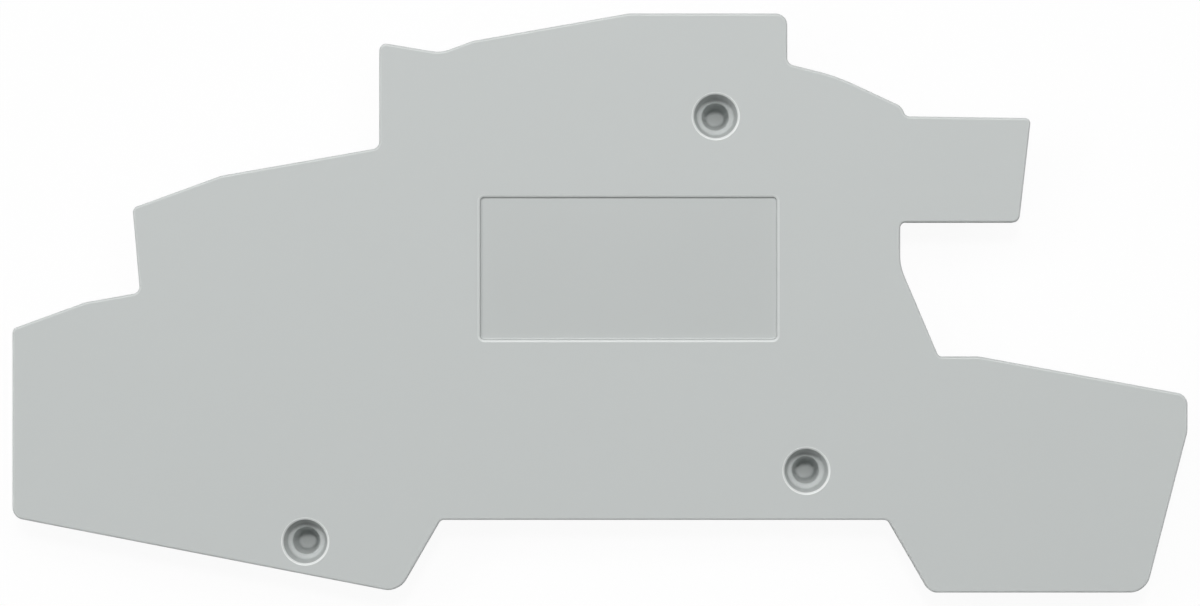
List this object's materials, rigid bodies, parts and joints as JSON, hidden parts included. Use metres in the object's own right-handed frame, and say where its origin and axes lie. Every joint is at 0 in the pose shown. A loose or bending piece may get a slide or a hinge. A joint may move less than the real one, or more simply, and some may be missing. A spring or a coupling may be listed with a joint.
{
  "type": "terminal block end cover",
  "caption": "Flat moulded end cover for a rail-mounted terminal block, with stepped entries, a rail-foot cut-out, a side slot, a label field and hollow press-in pins.",
  "frame": {"origin": "middle of the cover's outline, level with the pin tips that it lies on", "axes": "+X along the length, from the stepped wing to the lobe beside the side slot; +Y from the rail feet to the crown; +Z out of the front face"},
  "size_m": [0.105, 0.0518, 0.0052],
  "materials": {
    "housing_grey": "light grey polyamide, fine matt moulded surface"
  },
  "bodies": {
    "root": {"end_cover": "housing_grey"}
  },
  "joints": []
}
